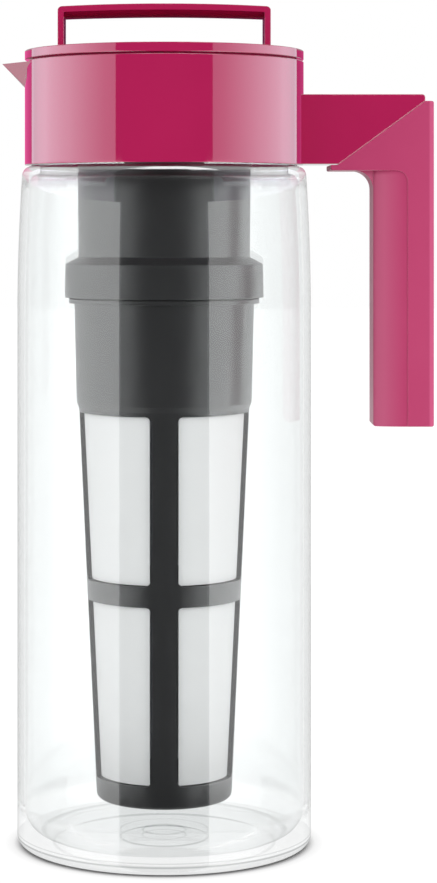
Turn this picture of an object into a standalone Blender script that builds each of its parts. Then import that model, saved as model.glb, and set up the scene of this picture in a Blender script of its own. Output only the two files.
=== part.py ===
# Iced tea maker: a clear jug with a handle collar, a pour-through lid and a hanging infuser.
# Metres, +Z up. The round pieces turn about one vertical axis, with the spout towards -X and
# the handle towards +X. Profiles are lists of (radius, height).

import math

import bmesh
import bpy
from mathutils import Matrix, Vector

# Clearances
FIT_GAP = 0.0003
RUN_GAP = 0.0004
CUT_OVERRUN = 0.003

# Jug: wall, shoulder, neck and base
BODY_RADIUS = 0.0536
BODY_WALL = 0.0028
BODY_HEIGHT = 0.2463
TAPER_HEIGHT = 0.052
SHOULDER_ROUND = 0.0036
NECK_RADIUS = 0.0483
NECK_WALL = 0.003
NECK_HEIGHT = 0.0252
BASE_THICKNESS = 0.0042
BASE_ROUND = 0.0034
FLOOR_ROUND = 0.009
FOOT_WIDTH = 0.010
PUNT_DEPTH = 0.0014
PUNT_SLOPE = 0.0025
GATE_RADIUS = 0.016
GATE_DEPTH = 0.0007

# Handle collar: the ring round the neck
COLLAR_WALL = 0.0023
COLLAR_LEDGE = 0.0022
SEAL_HEIGHT = 0.0012
LID_RECESS = 0.0088
RIM_WALL = 0.0025
EDGE_ROUND = 0.0004

# Spout: an open trough with a sharp keel
SPOUT_LENGTH = 0.0083
SPOUT_HALF_WIDTH = 0.018
SPOUT_HEIGHT = 0.0087
SPOUT_WALL = 0.0015
SPOUT_DROP = 0.0006
SPOUT_TIP_ROUND = 0.0012

# Arm of the handle, and the core that runs down inside the grip
ARM_HEIGHT = 0.0252
ARM_RAISE = 0.0003
ARM_INSET = 0.0031
ARM_CORNER = 0.0022
ARM_BEVEL = 0.0009
SEAM_START = 0.0122
SEAM_DROP = 0.0024
CORE_INSET = 0.0027

# Grip: a soft sleeve over the core
HANDLE_DEPTH = 0.024
HAND_GAP = 0.0248
GRIP_WIDTH = 0.0217
GRIP_LENGTH = 0.0926
GRIP_WALL = 0.0034
GRIP_CORNER = 0.0008
GRIP_BEVEL = 0.0008
GRIP_FILLET = 0.0066
TAB_LENGTH = 0.003
TAB_THICKNESS = 0.002
SCOOP_WIDTH = 0.0123
SCOOP_STEP = 0.0005
SCOOP_DEPTH = 0.004
SCOOP_WALL = 0.0012
SCOOP_ROUND = 0.0085

# Lid: cap, carry loop, plug and gasket
LID_SEAM = 0.0007
CAP_THICKNESS = 0.0033
SKIRT_WALL = 0.0022
PORT_HALF_WIDTH = 0.014
PORT_ROOF = 0.0012
LOOP_HEIGHT = 0.0168
LOOP_INSET = 0.0123
LOOP_DEPTH = 0.020
LOOP_LEG = 0.0023
LOOP_BAR = 0.0024
LOOP_BELLY = 0.002
LOOP_BOW = 0.0011
LOOP_CORNER = 0.0016
LOOP_BEVEL = 0.0006
LOOP_TENON = 0.0015
PLUG_FLANGE = 0.0015
PLUG_GAP = 0.0009
PLUG_WALL = 0.0034
PLUG_HEIGHT = 0.0307
GROOVE_DEPTH = 0.0016
GROOVE_HEIGHT = 0.0045
GROOVE_DROP = 0.005
SPIGOT_WALL = 0.0025
SPIGOT_HEIGHT = 0.0287
SPIGOT_ENGAGEMENT = 0.014

# Infuser: extension tube, whose lower band takes the basket
TUBE_RADIUS = 0.0318
TUBE_DRAFT = 0.0005
TUBE_WALL = 0.0021
TUBE_HEIGHT = 0.0715
BAND_STEP = 0.0048
BAND_FLARE = 0.0002
BAND_WALL = 0.0021
BAND_HEIGHT = 0.0121
BAND_SLOPE = 0.0026
BAND_ROOF = 0.0018

# Infuser: basket, with a solid upper wall, a windowed frame and a cup bottom
BASKET_WALL = 0.002
COLLET_WALL = 0.0027
FLANGE_INSET = 0.0013
FLANGE_HEIGHT = 0.0018
SHELL_INSET = 0.0008
SHELL_DRAFT = 0.00085
SHELL_HEIGHT = 0.0361
FRAME_INSET = 0.00085
FRAME_STEP = 0.002
FRAME_DRAFT = 0.0065
WINDOW_DROP = 0.0013
UPPER_WINDOW_HEIGHT = 0.0606
UPPER_WINDOW_ROUND = 0.0023
WINDOW_BAR = 0.0074
LOWER_WINDOW_ROUND = 0.0018
RIB_WIDTH = 0.0095
CUP_HEIGHT = 0.0083
CUP_ROUND = 0.0021
FLOOR_SPACE = 0.0122
MESH_THICKNESS = 0.0004

# Counts, angles and modelling steps
RIB_COUNT = 4
ROUND_SIDES = 48
ARC_STEPS = 4
CURVE_STEPS = 6
QUARTER_TURN = math.pi / 2
SHARP_ANGLE = math.radians(35)
BEVEL_ANGLE = math.radians(40)
MERGE_DISTANCE = 0.00001

# Colours as they are seen, from 0 to 255
RASPBERRY = (181, 29, 86)
RASPBERRY_SOFT = (193, 72, 117)
GRAPHITE = (51, 51, 52)
MESH_WHITE = (222, 222, 222)
SEAL_GREY = (214, 214, 210)
CLEAR = (245, 247, 247)

# Heights of the jug, collar and lid
neckTop = BODY_HEIGHT + NECK_HEIGHT
collarBottom = BODY_HEIGHT + FIT_GAP
sealBottom = neckTop + FIT_GAP
ledgeBottom = sealBottom + SEAL_HEIGHT + FIT_GAP
ledgeTop = ledgeBottom + COLLAR_LEDGE
collarTop = ledgeTop + LID_RECESS
armBottom = collarBottom + ARM_RAISE
armTop = armBottom + ARM_HEIGHT
seamTop = armTop - SEAM_DROP
tabTop = armBottom - FIT_GAP
tabBottom = tabTop - TAB_THICKNESS
gripBottom = tabBottom - GRIP_LENGTH
skirtBottom = ledgeTop + RUN_GAP
capBottom = collarTop + LID_SEAM
capTop = capBottom + CAP_THICKNESS
loopTop = capTop + LOOP_HEIGHT
flangeTop = capBottom - FIT_GAP
flangeBottom = flangeTop - PLUG_FLANGE
plugBottom = flangeTop - PLUG_HEIGHT
grooveTop = neckTop - GROOVE_DROP
grooveBottom = grooveTop - GROOVE_HEIGHT
spigotBottom = flangeTop - SPIGOT_HEIGHT

# Heights of the infuser, which hangs from the spigot and ends above the jug's floor
tubeTop = spigotBottom + SPIGOT_ENGAGEMENT
tubeBottom = tubeTop - TUBE_HEIGHT
bandTop = tubeBottom + BAND_HEIGHT
roofHeight = bandTop - BAND_ROOF
colletTop = roofHeight - RUN_GAP
basketFlangeTop = tubeBottom - FIT_GAP
shellTop = basketFlangeTop - FLANGE_HEIGHT
shellBottom = shellTop - SHELL_HEIGHT
frameTop = shellBottom - FRAME_STEP
upperWindowTop = frameTop - WINDOW_DROP
upperWindowBottom = upperWindowTop - UPPER_WINDOW_HEIGHT
lowerWindowTop = upperWindowBottom - WINDOW_BAR
basketBottom = BASE_THICKNESS + FLOOR_SPACE
lowerWindowBottom = basketBottom + CUP_HEIGHT
frameFoot = basketBottom + CUP_ROUND

# Radii of the jug, collar and lid
shoulderRadius = NECK_RADIUS + SHOULDER_ROUND
neckBore = NECK_RADIUS - NECK_WALL
collarBore = NECK_RADIUS + FIT_GAP
collarRadius = collarBore + COLLAR_WALL
ledgeBore = neckBore + FIT_GAP
rimBore = collarRadius - RIM_WALL
skirtRadius = rimBore - RUN_GAP
skirtBore = skirtRadius - SKIRT_WALL
plugRadius = neckBore - PLUG_GAP
plugBore = plugRadius - PLUG_WALL
grooveRadius = plugRadius - GROOVE_DEPTH
loopHalfSpan = collarRadius - LOOP_INSET

# Radii of the infuser
tubeFootRadius = TUBE_RADIUS - TUBE_DRAFT
tubeBore = tubeFootRadius - TUBE_WALL
spigotRadius = tubeBore - RUN_GAP
bandRadius = tubeFootRadius + BAND_STEP
bandBore = bandRadius - BAND_WALL
colletRadius = bandBore - RUN_GAP
flangeRadius = bandRadius - FLANGE_INSET
shellRadius = colletRadius - SHELL_INSET
shellFootRadius = shellRadius - SHELL_DRAFT
frameRadius = shellFootRadius - FRAME_INSET
frameFootRadius = frameRadius - FRAME_DRAFT

# Reach of the spout, handle and grip from the jug's axis
spoutReach = collarRadius + SPOUT_LENGTH
seamFoot = collarRadius + SEAM_START
tabInner = seamFoot - TAB_LENGTH
gripInner = collarRadius + HAND_GAP
gripOuter = gripInner + GRIP_WIDTH
armReach = gripOuter - ARM_INSET
coreInner = gripInner + GRIP_WALL
coreOuter = armReach - CORE_INSET
coreHalfDepth = HANDLE_DEPTH / 2 - SCOOP_DEPTH - SCOOP_WALL - FIT_GAP

# The part's origin is under the middle of its outline, between the spout's tip and the grip.
axisX = (spoutReach - gripOuter) / 2

parts = bpy.data.collections.new("iced_tea_maker")
cutters = bpy.data.collections.new("cutters")


# Scene and materials

def clear_scene():
    for thing in list(bpy.data.objects):
        bpy.data.objects.remove(thing, do_unlink=True)
    bpy.context.scene.collection.children.link(parts)
    bpy.context.scene.collection.children.link(cutters)


def linear(colour):
    return tuple((channel / 255) ** 2.2 for channel in colour)


def material(name, colour, roughness, transmission=0.0, ior=1.5):
    made = bpy.data.materials.new(name)
    made.use_nodes = True
    shader = made.node_tree.nodes["Principled BSDF"]
    shader.inputs["Base Color"].default_value = (*linear(colour), 1.0)
    shader.inputs["Roughness"].default_value = roughness
    shader.inputs["Metallic"].default_value = 0.0
    shader.inputs["IOR"].default_value = ior
    shader.inputs["Transmission Weight"].default_value = transmission
    made.diffuse_color = (*linear(colour), 1.0 - 0.65 * transmission)
    made.roughness = roughness
    return made


# Points of profiles and outlines

def arc(centre, radius, start, end, steps=ARC_STEPS):
    points = []
    for step in range(steps + 1):
        angle = start + (end - start) * step / steps
        across = centre[0] + radius * math.cos(angle)
        along = centre[1] + radius * math.sin(angle)
        points.append((across, along))
    return points


def body_radius(height):
    # The wall is straight, then draws in along a parabola to the shoulder.
    taperTop = BODY_HEIGHT - SHOULDER_ROUND
    share = max(0.0, 1 - (taperTop - height) / TAPER_HEIGHT)
    return BODY_RADIUS + (shoulderRadius - BODY_RADIUS) * share ** 2


def frame_radius(height):
    share = (height - frameFoot) / (frameTop - frameFoot)
    return frameFootRadius + FRAME_DRAFT * share


# Objects

def add_object(name, mesh, axis, surface=None):
    made = bpy.data.objects.new(name, mesh)
    made.parent = axis
    if surface is None:
        cutters.objects.link(made)
        made.hide_render = True
        made.display_type = "WIRE"
    else:
        parts.objects.link(made)
        mesh.materials.clear()
        mesh.materials.append(surface)
    return made


def evaluated_mesh(thing):
    depsgraph = bpy.context.evaluated_depsgraph_get()
    mesh = bpy.data.meshes.new_from_object(thing.evaluated_get(depsgraph))
    mesh.shade_smooth()
    mesh.set_sharp_from_angle(angle=SHARP_ANGLE)
    return mesh


def turned_mesh(name, profile, closed=False):
    # Spins the profile round +Z. Its outer side runs downwards.
    mesh = bpy.data.meshes.new(name)
    points = [(radius, 0, height) for radius, height in profile]
    edges = [(i, i + 1) for i in range(len(points) - 1)]
    if closed:
        edges.append((len(points) - 1, 0))
    mesh.from_pydata(points, edges, [])
    blank = bpy.data.objects.new(name, mesh)
    cutters.objects.link(blank)
    screw = blank.modifiers.new("spin", "SCREW")
    screw.axis = "Z"
    screw.steps = ROUND_SIDES
    screw.render_steps = ROUND_SIDES
    screw.use_merge_vertices = True
    screw.merge_threshold = MERGE_DISTANCE
    made = evaluated_mesh(blank)
    made.name = name
    bpy.data.objects.remove(blank)
    bpy.data.meshes.remove(mesh)
    return made


def outline_mesh(name, outline, half_thickness, normal="Y"):
    # A flat outline, extruded both ways along the axis that normal names.
    curve = bpy.data.curves.new(name, "CURVE")
    curve.dimensions = "2D"
    curve.fill_mode = "BOTH"
    curve.extrude = half_thickness
    spline = curve.splines.new("POLY")
    spline.points.add(len(outline) - 1)
    for point, (across, along) in zip(spline.points, outline):
        point.co = (across, along, 0, 1)
    spline.use_cyclic_u = True
    blank = bpy.data.objects.new(name, curve)
    cutters.objects.link(blank)
    mesh = evaluated_mesh(blank)
    turns = {
        "X": Matrix(((0, 0, 1), (1, 0, 0), (0, 1, 0))),
        "Y": Matrix.Rotation(QUARTER_TURN, 3, "X"),
        "Z": Matrix.Identity(3),
    }
    work = bmesh.new()
    work.from_mesh(mesh)
    bmesh.ops.remove_doubles(work, verts=work.verts, dist=MERGE_DISTANCE)
    bmesh.ops.recalc_face_normals(work, faces=work.faces)
    bmesh.ops.rotate(work, verts=work.verts, matrix=turns[normal])
    work.to_mesh(mesh)
    work.free()
    mesh.name = name
    bpy.data.objects.remove(blank)
    bpy.data.curves.remove(curve)
    return mesh


def box_mesh(name, low, high):
    mesh = bpy.data.meshes.new(name)
    size = Vector(high) - Vector(low)
    middle = (Vector(high) + Vector(low)) / 2
    work = bmesh.new()
    bmesh.ops.create_cube(work, size=1)
    bmesh.ops.scale(work, verts=work.verts, vec=size)
    bmesh.ops.translate(work, verts=work.verts, vec=middle)
    work.to_mesh(mesh)
    work.free()
    return mesh


def hull_mesh(name, points):
    # The smallest convex solid round the points.
    mesh = bpy.data.meshes.new(name)
    work = bmesh.new()
    for point in points:
        work.verts.new(point)
    bmesh.ops.convex_hull(work, input=work.verts)
    bmesh.ops.recalc_face_normals(work, faces=work.faces)
    work.to_mesh(mesh)
    work.free()
    return mesh


def bevel(thing, width, segments=2):
    rounding = thing.modifiers.new("rounding", "BEVEL")
    rounding.width = width
    rounding.segments = segments
    rounding.limit_method = "ANGLE"
    rounding.angle_limit = BEVEL_ANGLE
    return thing


def combine(thing, other, operation):
    step = thing.modifiers.new(other.name, "BOOLEAN")
    step.operation = operation
    step.object = other
    step.solver = "EXACT"
    return thing


# Jug

def pitcher_body(axis, surface):
    wallRadius = BODY_RADIUS - BODY_WALL
    taperTop = BODY_HEIGHT - SHOULDER_ROUND
    taperBottom = taperTop - TAPER_HEIGHT
    innerTurn = taperTop - BODY_WALL
    heights = [taperBottom + TAPER_HEIGHT * step / CURVE_STEPS for step in range(CURVE_STEPS + 1)]

    profile = [(0, BASE_THICKNESS)]
    floorTurn = (wallRadius - FLOOR_ROUND, BASE_THICKNESS + FLOOR_ROUND)
    profile += arc(floorTurn, FLOOR_ROUND, -QUARTER_TURN, 0, 2 * ARC_STEPS)
    profile += [(body_radius(height) - BODY_WALL, height) for height in heights if height < innerTurn]
    innerShoulder = (shoulderRadius - BODY_WALL - SHOULDER_ROUND, innerTurn)
    profile += arc(innerShoulder, SHOULDER_ROUND, 0, QUARTER_TURN)
    profile += [(neckBore, innerTurn + SHOULDER_ROUND), (neckBore, neckTop)]

    profile += [(NECK_RADIUS, neckTop)]
    profile += arc((NECK_RADIUS, taperTop), SHOULDER_ROUND, QUARTER_TURN, 0)
    profile += [(body_radius(height), height) for height in reversed(heights[:-1])]
    footOuter = BODY_RADIUS - BASE_ROUND
    profile += arc((footOuter, BASE_ROUND), BASE_ROUND, 0, -QUARTER_TURN)
    footInner = footOuter - FOOT_WIDTH
    profile += [(footInner, 0), (footInner - PUNT_SLOPE, PUNT_DEPTH), (GATE_RADIUS, PUNT_DEPTH)]
    gateHeight = PUNT_DEPTH + GATE_DEPTH
    profile += [(GATE_RADIUS - GATE_DEPTH, gateHeight), (0, gateHeight)]
    return add_object("pitcher_body", turned_mesh("pitcher_body", profile), axis, surface)


def neck_seal(axis, surface):
    top = sealBottom + SEAL_HEIGHT
    inner = neckBore + FIT_GAP
    outer = NECK_RADIUS - FIT_GAP
    profile = [(outer, top), (outer, sealBottom), (inner, sealBottom), (inner, top)]
    return add_object("neck_seal", turned_mesh("neck_seal", profile, True), axis, surface)


# Handle collar

def collar_blank_profile():
    inset = collarRadius - EDGE_ROUND
    return [
        (0, collarTop),
        (inset, collarTop),
        (collarRadius, collarTop - EDGE_ROUND),
        (collarRadius, collarBottom + EDGE_ROUND),
        (inset, collarBottom),
        (0, collarBottom),
    ]


def collar_bore_profile():
    # The neck's space below the ledge, the lid's space above it.
    return [
        (0, collarTop + CUT_OVERRUN),
        (rimBore, collarTop + CUT_OVERRUN),
        (rimBore, ledgeTop),
        (ledgeBore, ledgeTop),
        (ledgeBore, ledgeBottom),
        (collarBore, ledgeBottom),
        (collarBore, collarBottom - CUT_OVERRUN),
        (0, collarBottom - CUT_OVERRUN),
    ]


def spout_points(inset, top):
    # A rim with a rounded tip, over a keel that rises from the collar's wall to the tip.
    rim = collarTop - SPOUT_DROP
    keel = rim - SPOUT_HEIGHT + inset
    half = SPOUT_HALF_WIDTH - inset
    tip = spoutReach - inset - SPOUT_TIP_ROUND
    meeting = math.sqrt(collarRadius ** 2 - SPOUT_HALF_WIDTH ** 2)
    root = 2 * meeting - spoutReach
    outline = arc((tip, 0), SPOUT_TIP_ROUND, -QUARTER_TURN, QUARTER_TURN)
    outline += [(meeting, half), (root, half), (root, -half), (meeting, -half)]
    points = [(-across, along, rim) for across, along in outline]
    points += [(-across, along, top) for across, along in outline]
    points += [(-collarRadius, 0, keel), (-root, 0, keel)]
    return points


def arm_outline():
    # The inner end reaches into the neck's space, which the bore cuts clear again.
    root = NECK_RADIUS - HANDLE_DEPTH / 2
    corner = (armReach - ARM_CORNER, armTop - ARM_CORNER)
    outline = [(root, armBottom), (seamFoot, armBottom), (armReach, seamTop)]
    outline += arc(corner, ARM_CORNER, 0, QUARTER_TURN)
    return outline + [(root, armTop)]


def core_corners(gap, top):
    low = (coreInner - gap, -coreHalfDepth - gap, gripBottom + GRIP_WALL - gap)
    high = (coreOuter + gap, coreHalfDepth + gap, top)
    return low, high


def handle_collar(axis, surface):
    blank = turned_mesh("handle_collar", collar_blank_profile())
    made = add_object("handle_collar", blank, axis, surface)

    rim = collarTop - SPOUT_DROP
    spout = add_object("spout_blank", hull_mesh("spout_blank", spout_points(0, rim)), axis)
    combine(made, spout, "UNION")

    arm = outline_mesh("arm_blank", arm_outline(), HANDLE_DEPTH / 2)
    arm = bevel(add_object("arm_blank", arm, axis), ARM_BEVEL)
    combine(made, arm, "UNION")

    core = box_mesh("core_blank", *core_corners(0, armTop - ARM_CORNER))
    combine(made, add_object("core_blank", core, axis), "UNION")

    trough = spout_points(SPOUT_WALL, collarTop + CUT_OVERRUN)
    trough = add_object("spout_trough", hull_mesh("spout_trough", trough), axis)
    combine(made, trough, "DIFFERENCE")

    bore = turned_mesh("collar_bore", collar_bore_profile())
    combine(made, add_object("collar_bore", bore, axis), "DIFFERENCE")
    return made


# Grip

def grip_outline():
    slope = math.atan2(seamTop - armBottom, armReach - seamFoot)
    seamStart = seamFoot + FIT_GAP * math.tan(slope / 2)
    seamEnd = armReach + FIT_GAP / math.sin(slope)
    outer = gripOuter - GRIP_CORNER
    inner = gripInner + GRIP_CORNER
    foot = gripBottom + GRIP_CORNER
    fillet = (gripInner - GRIP_FILLET, tabBottom - GRIP_FILLET)
    outline = [(tabInner, tabBottom), (tabInner, tabTop), (seamStart, tabTop), (seamEnd, seamTop)]
    outline += arc((outer, seamTop - GRIP_CORNER), GRIP_CORNER, QUARTER_TURN, 0, 2)
    outline += arc((outer, foot), GRIP_CORNER, 0, -QUARTER_TURN, 2)
    outline += arc((inner, foot), GRIP_CORNER, -QUARTER_TURN, -2 * QUARTER_TURN, 2)
    outline += arc(fillet, GRIP_FILLET, 0, QUARTER_TURN, 2 * ARC_STEPS)
    return outline


def scoop_section(side):
    # Seen from above: the inner half of the grip falls away in a quarter ellipse.
    crease = gripInner + SCOOP_WIDTH
    face = HANDLE_DEPTH / 2
    floor = face - SCOOP_DEPTH
    points = []
    for step in range(CURVE_STEPS + 1):
        angle = QUARTER_TURN * step / CURVE_STEPS
        across = crease - SCOOP_WIDTH * math.sin(angle)
        along = floor + (SCOOP_DEPTH - SCOOP_STEP) * math.cos(angle)
        points.append((across, side * along))
    points.append((gripInner - GRIP_FILLET, side * floor))
    points.append((gripInner - GRIP_FILLET, side * (face + CUT_OVERRUN)))
    points.append((crease, side * (face + CUT_OVERRUN)))
    return points


def scoop_outline():
    # Seen from the side: a tall recess with one round top corner.
    crease = gripInner + SCOOP_WIDTH
    inner = gripInner - GRIP_FILLET - CUT_OVERRUN
    foot = gripBottom - CUT_OVERRUN
    corner = (crease - SCOOP_ROUND, tabBottom - SCOOP_ROUND)
    outline = [(inner, foot), (crease + CUT_OVERRUN, foot), (crease + CUT_OVERRUN, corner[1])]
    outline += arc(corner, SCOOP_ROUND, 0, QUARTER_TURN, 2 * ARC_STEPS)
    outline += [(inner, tabBottom)]
    return outline


def grip_sleeve(axis, surface):
    sleeve = outline_mesh("grip_sleeve", grip_outline(), HANDLE_DEPTH / 2)
    made = bevel(add_object("grip_sleeve", sleeve, axis, surface), GRIP_BEVEL)

    front = outline_mesh("scoop_front", scoop_outline(), HANDLE_DEPTH)
    front = add_object("scoop_front", front, axis)
    for name, side in (("scoop_near", -1), ("scoop_far", 1)):
        section = outline_mesh(name, scoop_section(side), GRIP_LENGTH / 2 + CUT_OVERRUN, "Z")
        scoop = add_object(name, section, axis)
        scoop.location.z = (tabBottom + gripBottom) / 2
        combine(scoop, front, "INTERSECT")
        combine(made, scoop, "DIFFERENCE")

    pocket = box_mesh("core_pocket", *core_corners(FIT_GAP, armTop + CUT_OVERRUN))
    combine(made, add_object("core_pocket", pocket, axis), "DIFFERENCE")
    return made


# Lid

def lid_cap(axis, surface):
    inset = collarRadius - EDGE_ROUND
    profile = [
        (0, capTop),
        (inset, capTop),
        (collarRadius, capTop - EDGE_ROUND),
        (collarRadius, capBottom + EDGE_ROUND),
        (inset, capBottom),
        (skirtRadius, capBottom),
        (skirtRadius, skirtBottom),
        (skirtBore, skirtBottom),
        (skirtBore, capBottom),
        (0, capBottom),
    ]
    made = add_object("lid_cap", turned_mesh("lid_cap", profile), axis, surface)
    for name, side in (("leg_socket_left", -1), ("leg_socket_right", 1)):
        outer = loopHalfSpan + FIT_GAP
        inner = loopHalfSpan - LOOP_LEG - FIT_GAP
        near = min(side * inner, side * outer)
        far = max(side * inner, side * outer)
        half = LOOP_DEPTH / 2 + FIT_GAP
        low = (near, -half, capTop - LOOP_TENON - FIT_GAP)
        high = (far, half, capTop + CUT_OVERRUN)
        combine(made, add_object(name, box_mesh(name, low, high), axis), "DIFFERENCE")
    # The pouring port: a notch in the skirt, a quarter turn away from the spout.
    low = (-PORT_HALF_WIDTH, plugRadius, skirtBottom - CUT_OVERRUN)
    high = (PORT_HALF_WIDTH, collarRadius, capBottom - PORT_ROOF)
    combine(made, add_object("skirt_port", box_mesh("skirt_port", low, high), axis), "DIFFERENCE")
    return made


def bowed(mesh):
    # Bends the loop's bar: its ends lie lower than its middle, its legs keep their feet.
    work = bmesh.new()
    work.from_mesh(mesh)
    for step in range(1, 2 * CURVE_STEPS):
        cut = loopHalfSpan * (step / CURVE_STEPS - 1)
        geometry = work.verts[:] + work.edges[:] + work.faces[:]
        bmesh.ops.bisect_plane(work, geom=geometry, plane_co=(cut, 0, 0), plane_no=(1, 0, 0),
                               dist=MERGE_DISTANCE)
    for vertex in work.verts:
        rise = max(0.0, (vertex.co.z - capTop) / LOOP_HEIGHT)
        vertex.co.z -= LOOP_BOW * rise * (vertex.co.x / loopHalfSpan) ** 2
    work.to_mesh(mesh)
    work.free()
    return mesh


def loop_outline():
    foot = capTop - LOOP_TENON
    corner = (loopHalfSpan - LOOP_CORNER, loopTop - LOOP_CORNER)
    inside = loopHalfSpan - LOOP_LEG
    right = [(inside, loopTop - LOOP_BAR), (inside, foot), (loopHalfSpan, foot)]
    right += arc(corner, LOOP_CORNER, 0, QUARTER_TURN)
    return right + [(-across, along) for across, along in reversed(right)]


def belly_section():
    # Seen from the end: the bar's underside swells between its front and back edges.
    half = LOOP_DEPTH / 2 - LOOP_BEVEL
    edge = loopTop - LOOP_BAR
    points = [(half, edge + LOOP_BAR / 2), (-half, edge + LOOP_BAR / 2)]
    for step in range(2 * CURVE_STEPS + 1):
        share = step / CURVE_STEPS - 1
        points.append((half * share, edge - LOOP_BELLY * (1 - share ** 2)))
    return points


def carry_loop(axis, surface):
    arch = outline_mesh("loop_blank", loop_outline(), LOOP_DEPTH / 2)
    blank = bevel(add_object("loop_blank", arch, axis), LOOP_BEVEL)
    belly = outline_mesh("loop_belly", belly_section(), loopHalfSpan - LOOP_LEG / 2, "X")
    combine(blank, add_object("loop_belly", belly, axis), "UNION")
    bpy.context.view_layer.update()
    return add_object("carry_loop", bowed(evaluated_mesh(blank)), axis, surface)


def lid_plug(axis, surface):
    rim = skirtBore - FIT_GAP
    profile = [
        (0, flangeTop),
        (rim, flangeTop),
        (rim, flangeBottom),
        (plugRadius, flangeBottom),
        (plugRadius, grooveTop),
        (grooveRadius, grooveTop),
        (grooveRadius, grooveBottom),
        (plugRadius, grooveBottom),
        (plugRadius, plugBottom),
        (plugBore, plugBottom),
        (plugBore, flangeBottom),
        (spigotRadius, flangeBottom),
        (spigotRadius, spigotBottom),
        (spigotRadius - SPIGOT_WALL, spigotBottom),
        (spigotRadius - SPIGOT_WALL, flangeBottom),
        (0, flangeBottom),
    ]
    made = add_object("lid_plug", turned_mesh("lid_plug", profile), axis, surface)
    low = (-PORT_HALF_WIDTH, plugBore - PLUG_WALL, skirtBottom)
    high = (PORT_HALF_WIDTH, collarRadius, flangeBottom - PORT_ROOF)
    combine(made, add_object("plug_port", box_mesh("plug_port", low, high), axis), "DIFFERENCE")
    return made


def lid_gasket(axis, surface):
    outer = neckBore - FIT_GAP
    inner = grooveRadius + FIT_GAP
    top = grooveTop - FIT_GAP
    bottom = grooveBottom + FIT_GAP
    profile = [(outer, top), (outer, bottom), (inner, bottom), (inner, top)]
    return add_object("lid_gasket", turned_mesh("lid_gasket", profile, True), axis, surface)


# Infuser

def infuser_extension(axis, surface):
    profile = [
        (TUBE_RADIUS, tubeTop),
        (tubeFootRadius, bandTop + BAND_SLOPE),
        (bandRadius, bandTop),
        (bandRadius + BAND_FLARE, tubeBottom),
        (bandBore, tubeBottom),
        (bandBore, roofHeight),
        (tubeBore, roofHeight),
        (tubeBore, tubeTop),
    ]
    tube = turned_mesh("infuser_extension", profile, True)
    return add_object("infuser_extension", tube, axis, surface)


def window_rows():
    return (
        ("upper", upperWindowBottom, upperWindowTop, UPPER_WINDOW_ROUND),
        ("lower", lowerWindowBottom, lowerWindowTop, LOWER_WINDOW_ROUND),
    )


def window_box(name, bottom, top, rounding, inset, axis):
    # One quarter of the space between the ribs, with round corners where it meets them.
    side = RIB_WIDTH / 2 + inset
    low = (side, side, bottom + inset)
    high = (flangeRadius, flangeRadius, top - inset)
    return bevel(add_object(name, box_mesh(name, low, high), axis), rounding - inset, 3)


def infuser_basket(axis, surface):
    floor = basketBottom + BASKET_WALL
    cupTurn = (frameFootRadius - CUP_ROUND, frameFoot)
    profile = [
        (0, floor),
        (frameFootRadius - CUP_ROUND - BASKET_WALL / 2, floor),
        (frameFootRadius - BASKET_WALL, floor + CUP_ROUND / 2),
        (frameRadius - BASKET_WALL, frameTop),
        (shellFootRadius - BASKET_WALL, shellBottom),
        (shellRadius - BASKET_WALL, shellTop),
        (colletRadius - COLLET_WALL, colletTop),
        (colletRadius, colletTop),
        (colletRadius, basketFlangeTop),
        (flangeRadius, basketFlangeTop),
        (flangeRadius, shellTop),
        (shellRadius, shellTop),
        (shellFootRadius, shellBottom),
        (frameRadius, frameTop),
    ]
    profile += arc(cupTurn, CUP_ROUND, 0, -QUARTER_TURN, 3)
    profile += [(0, basketBottom)]
    made = add_object("infuser_basket", turned_mesh("infuser_basket", profile), axis, surface)
    for row, bottom, top, rounding in window_rows():
        for number in range(RIB_COUNT):
            window = window_box(f"{row}_window_{number + 1}", bottom, top, rounding, 0, axis)
            window.rotation_euler.z = 2 * math.pi * number / RIB_COUNT
            combine(made, window, "DIFFERENCE")
    return made


def mesh_panels(axis, surface):
    # Fine mesh, held in each window at the inner face of the frame.
    for row, bottom, top, rounding in window_rows():
        profile = []
        for height in (top, bottom):
            profile.append((frame_radius(height) - BASKET_WALL + MESH_THICKNESS, height))
        for height in (bottom, top):
            profile.append((frame_radius(height) - BASKET_WALL, height))
        blank = add_object(f"{row}_mesh_blank", turned_mesh(f"{row}_mesh_blank", profile, True), axis)
        window = window_box(f"{row}_mesh_box", bottom, top, rounding, FIT_GAP, axis)
        combine(blank, window, "INTERSECT")
        bpy.context.view_layer.update()
        panel = evaluated_mesh(blank)
        panel.name = f"mesh_{row}"
        for number in range(RIB_COUNT):
            made = add_object(f"mesh_{row}_{number + 1}", panel, axis, surface)
            made.rotation_euler.z = 2 * math.pi * number / RIB_COUNT


# Assembly

def add_axis(name, parent=None):
    made = bpy.data.objects.new(name, None)
    made.parent = parent
    made.empty_display_size = BODY_RADIUS
    parts.objects.link(made)
    return made


def build():
    clear_scene()
    glossy = material("raspberry_gloss", RASPBERRY, 0.12)
    soft = material("raspberry_soft", RASPBERRY_SOFT, 0.45)
    graphite = material("graphite_plastic", GRAPHITE, 0.3)
    white = material("white_mesh", MESH_WHITE, 0.7)
    seal = material("seal_silicone", SEAL_GREY, 0.5)
    clear = material("clear_plastic", CLEAR, 0.03, transmission=1.0, ior=1.54)

    jugAxis = add_axis("jug_axis")
    jugAxis.location.x = axisX
    lidAxis = add_axis("lid_axis", jugAxis)
    tubeAxis = add_axis("tube_axis", lidAxis)
    basketAxis = add_axis("basket_axis", tubeAxis)
    bpy.context.view_layer.update()

    pitcher_body(jugAxis, clear)
    neck_seal(jugAxis, seal)
    handle_collar(jugAxis, glossy)
    grip_sleeve(jugAxis, soft)
    lid_cap(lidAxis, glossy)
    carry_loop(lidAxis, glossy)
    lid_plug(lidAxis, glossy)
    lid_gasket(lidAxis, seal)
    infuser_extension(tubeAxis, graphite)
    infuser_basket(basketAxis, graphite)
    mesh_panels(basketAxis, white)


build()
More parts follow.
